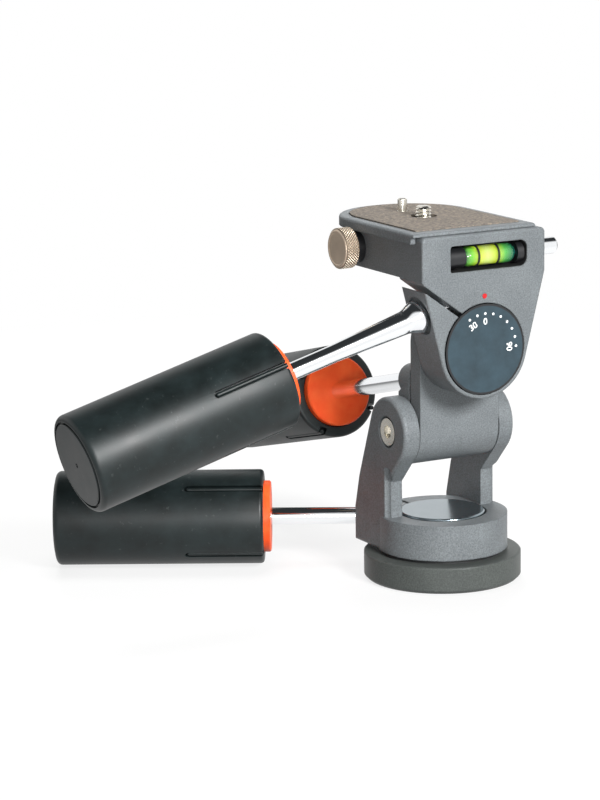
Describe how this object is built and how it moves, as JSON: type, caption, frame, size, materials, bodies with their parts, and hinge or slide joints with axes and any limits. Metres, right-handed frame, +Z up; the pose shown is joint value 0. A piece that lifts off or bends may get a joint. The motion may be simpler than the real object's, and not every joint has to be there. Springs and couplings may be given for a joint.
{
  "type": "three way pan tilt head",
  "caption": "Tripod head that pans, tilts and rolls, with a long twist-lock handle for each way, a spirit level, a roll scale and a slide-on camera plate with a lock knob.",
  "frame": {"origin": "middle of the mounting face that meets the tripod, at the mouth of the tripod thread", "axes": "+Z up along the pan axis, X along the tilt axis, and the dial and level face -Y"},
  "size_m": [0.2145, 0.196, 0.1509],
  "materials": {
    "casting_paint": "die cast, dark grey metallic speckled powder paint",
    "base_paint": "turned, dark grey metallic paint",
    "zinc_steel": "zinc plated",
    "bright_steel": "bright machined",
    "brass": "machined",
    "nickel": "warm satin nickel, knurled rim",
    "chrome": "polished chrome plate",
    "black_nylon": "plain moulded",
    "black_plastic": "satin moulded",
    "dial_plastic": "satin blue-grey with printed white scale",
    "red_paint": "paint filled",
    "clear_glass": "clear acrylic vial",
    "green_fluid": "yellow-green spirit",
    "bubble": "air bubble",
    "cork_rubber": "brown-grey speckled cork and rubber",
    "orange_plastic": "satin moulded",
    "grip_plastic": "fine textured black moulding with a soft sheen"
  },
  "bodies": {
    "base": {"base_disc": "base_paint", "pan_spindle": "casting_paint", "spindle_screws": "zinc_steel", "tripod_bush": "brass", "pan_washer": "black_nylon"},
    "yoke": {"pan_yoke": "casting_paint", "tilt_axle": "zinc_steel", "ear_screws": "bright_steel", "pan_clamp_nut": "zinc_steel"},
    "tilt_head": {"tilt_body": "casting_paint", "tilt_bushes": "black_nylon", "roll_shaft": "zinc_steel", "roll_screws": "zinc_steel", "dial_bezel": "black_plastic", "dial_disc": "dial_plastic", "tilt_clamp_nut": "zinc_steel"},
    "platform": {"platform_casting": "casting_paint", "index_dot": "red_paint", "vial_tube": "clear_glass", "level_fluid": "green_fluid", "level_bubble": "bubble", "level_rings": "black_plastic", "level_caps": "black_plastic", "knob_collar": "black_plastic", "button_collar": "black_plastic", "button_spring": "zinc_steel", "roll_clamp_nut": "zinc_steel"},
    "plate": {"quick_plate": "casting_paint", "cork_pad": "cork_rubber", "screw_clip": "zinc_steel", "pin_plug": "brass", "pin_spring": "zinc_steel"},
    "camera_screw": {"camera_screw": "bright_steel"},
    "twist_pin": {"anti_twist_pin": "bright_steel"},
    "lock": {"lock_knob": "nickel", "cam_shaft": "zinc_steel"},
    "button": {"release_button": "chrome"},
    "pan_handle": {"pan_handle_rod": "chrome", "pan_handle_plug": "orange_plastic", "pan_handle_grip": "grip_plastic"},
    "tilt_handle": {"tilt_handle_rod": "chrome", "tilt_handle_plug": "orange_plastic", "tilt_handle_grip": "grip_plastic"},
    "roll_handle": {"roll_handle_rod": "chrome", "roll_handle_plug": "orange_plastic", "roll_handle_grip": "grip_plastic"}
  },
  "joints": [
    {"name": "pan", "type": "hinge", "parent": "base", "child": "yoke", "pos_m": [0, 0, 0.012], "axis": [0, 0, 1], "continuous": true},
    {"name": "tilt", "type": "hinge", "parent": "yoke", "child": "tilt_head", "pos_m": [0, 0, 0.0618], "axis": [1, 0, 0], "range_deg": [-30, 90]},
    {"name": "roll", "type": "hinge", "parent": "tilt_head", "child": "platform", "pos_m": [0, 0, 0.098], "axis": [0, 1, 0], "range_deg": [-30, 90]},
    {"name": "plate_slide", "type": "slide", "parent": "platform", "child": "plate", "axis": [0, 1, 0], "range_m": [0, 0.045]},
    {"name": "lock_knob_turn", "type": "hinge", "parent": "platform", "child": "lock", "pos_m": [-0.0314, 0.017, 0.1343], "axis": [-1, 0, 0], "range_deg": [0, 180]},
    {"name": "button_press", "type": "slide", "parent": "platform", "child": "button", "axis": [-1, 0, 0], "range_m": [0, 0.003], "stiffness_N_per_m": 400},
    {"name": "camera_screw_turn", "type": "hinge", "parent": "plate", "child": "camera_screw", "pos_m": [-0.0036, 0.0072, 0.14], "axis": [0, 0, 1], "continuous": true},
    {"name": "pin_press", "type": "slide", "parent": "plate", "child": "twist_pin", "axis": [0, 0, -1], "range_m": [0, 0.002], "stiffness_N_per_m": 300, "deforming": ["pin_spring"]},
    {"name": "pan_handle_turn", "type": "hinge", "parent": "yoke", "child": "pan_handle", "pos_m": [-0.00954, 0.02687, 0.02], "axis": [-0.866, 0.5, 0], "range_deg": [0, 180]},
    {"name": "tilt_handle_turn", "type": "hinge", "parent": "tilt_head", "child": "tilt_handle", "pos_m": [-0.0114, 0.003, 0.081], "axis": [0.008, 0.9702, -0.2421], "range_deg": [0, 180]},
    {"name": "roll_handle_turn", "type": "hinge", "parent": "platform", "child": "roll_handle", "pos_m": [-0.0226, -0.024, 0.1127], "axis": [-0.961, 0.02, -0.276], "range_deg": [0, 180]}
  ]
}
